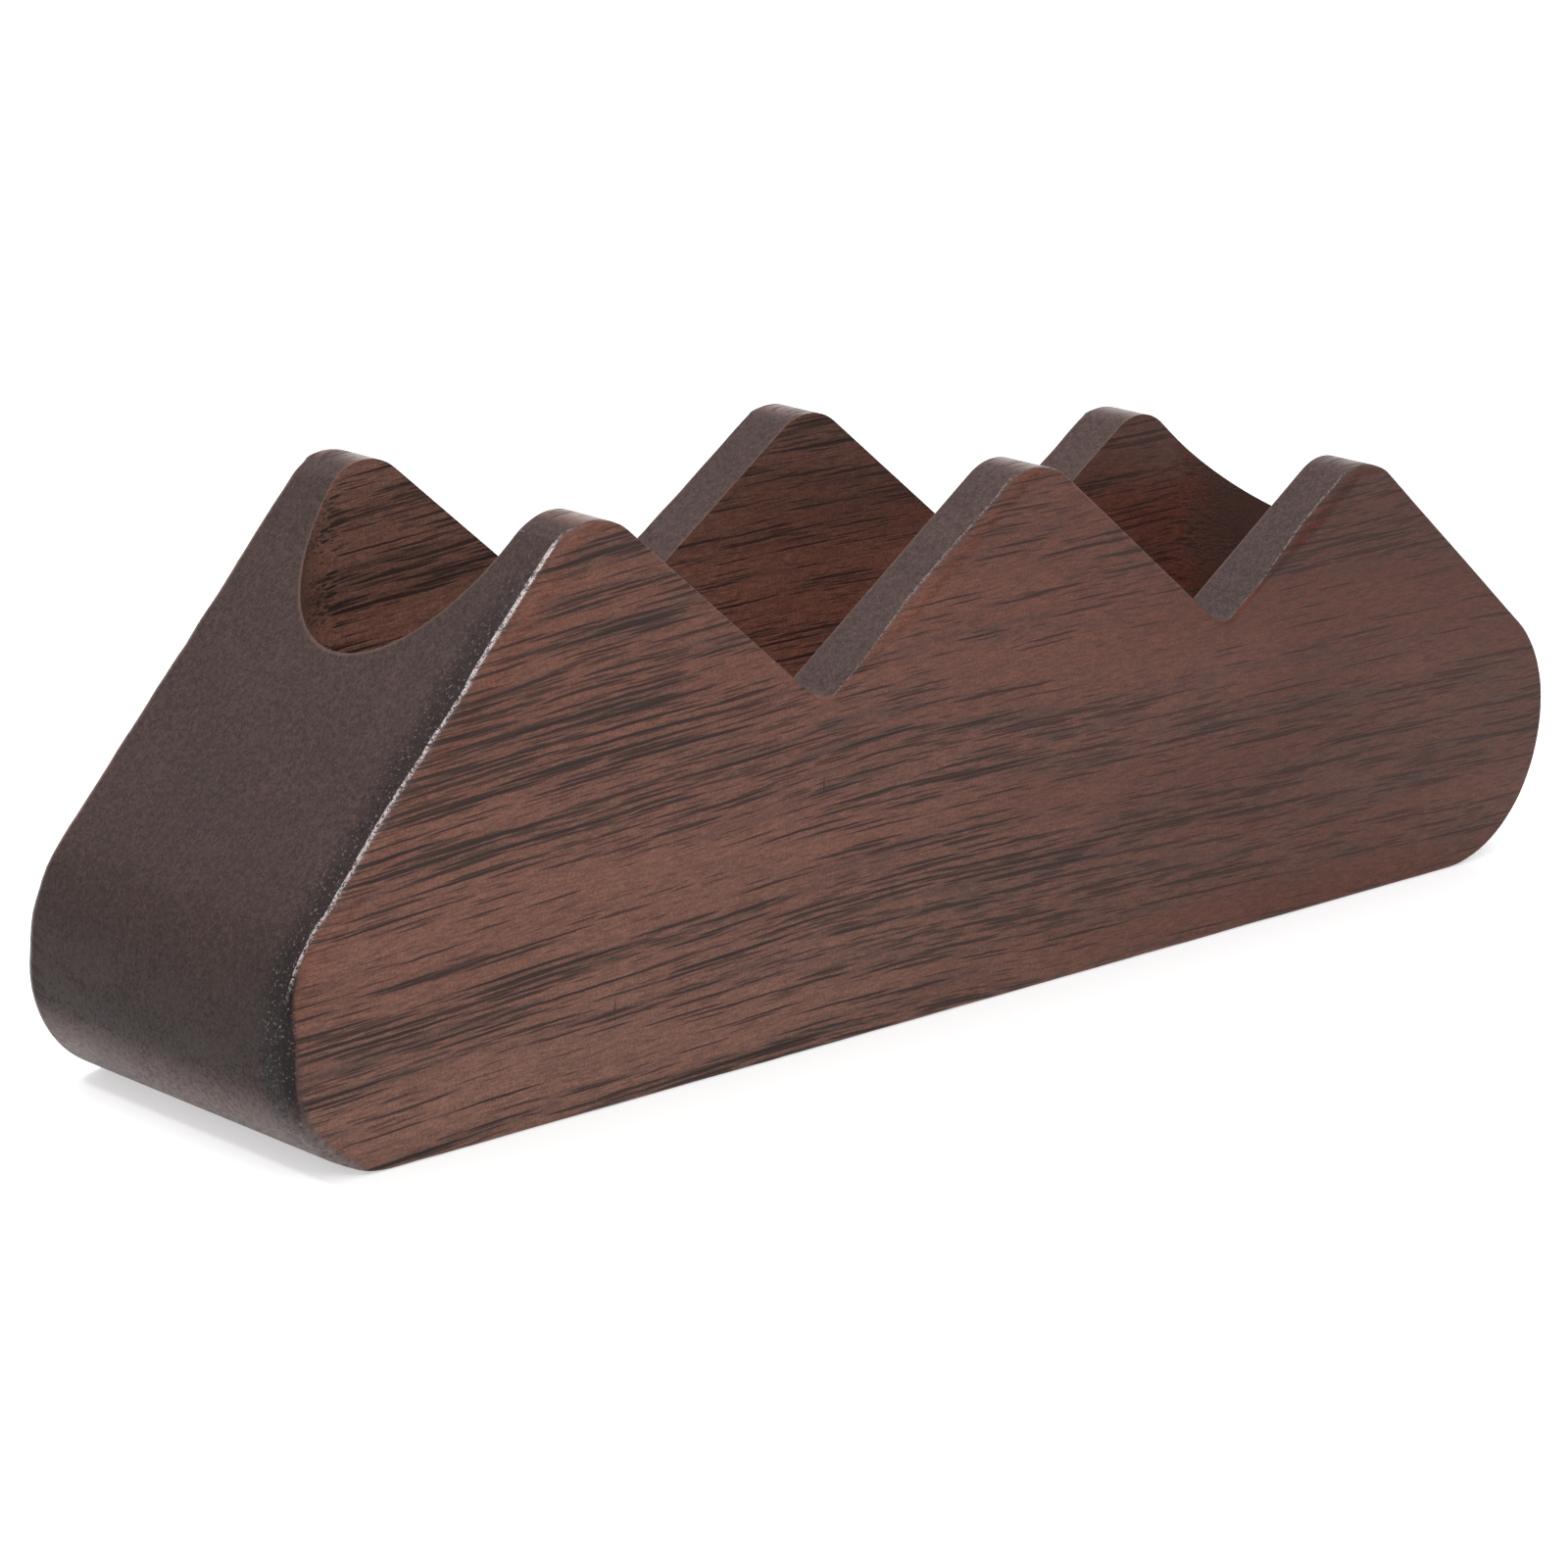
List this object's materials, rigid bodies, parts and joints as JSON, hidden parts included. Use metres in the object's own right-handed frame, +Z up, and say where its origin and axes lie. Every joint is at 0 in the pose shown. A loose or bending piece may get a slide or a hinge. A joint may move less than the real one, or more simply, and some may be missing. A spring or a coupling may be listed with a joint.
{
  "type": "pick holder",
  "caption": "Tabletop guitar pick holder: a dark hardwood block with a mountain-ridge outline and a long open pocket that picks stand in.",
  "frame": {"origin": "middle of the bounding box's footprint, on the flat underside that the holder stands on", "axes": "+Z up; +X along the ridge, from the tall steep end to the lower end; -Y is the front face, and the front and back faces are parallel to the X-Z plane"},
  "size_m": [0.122, 0.0254, 0.0375],
  "materials": {
    "stained_hardwood": "dark stained open-pore hardwood with a thin satin coat, darker on end grain"
  },
  "bodies": {
    "root": {"holder_block": "stained_hardwood"}
  },
  "joints": []
}
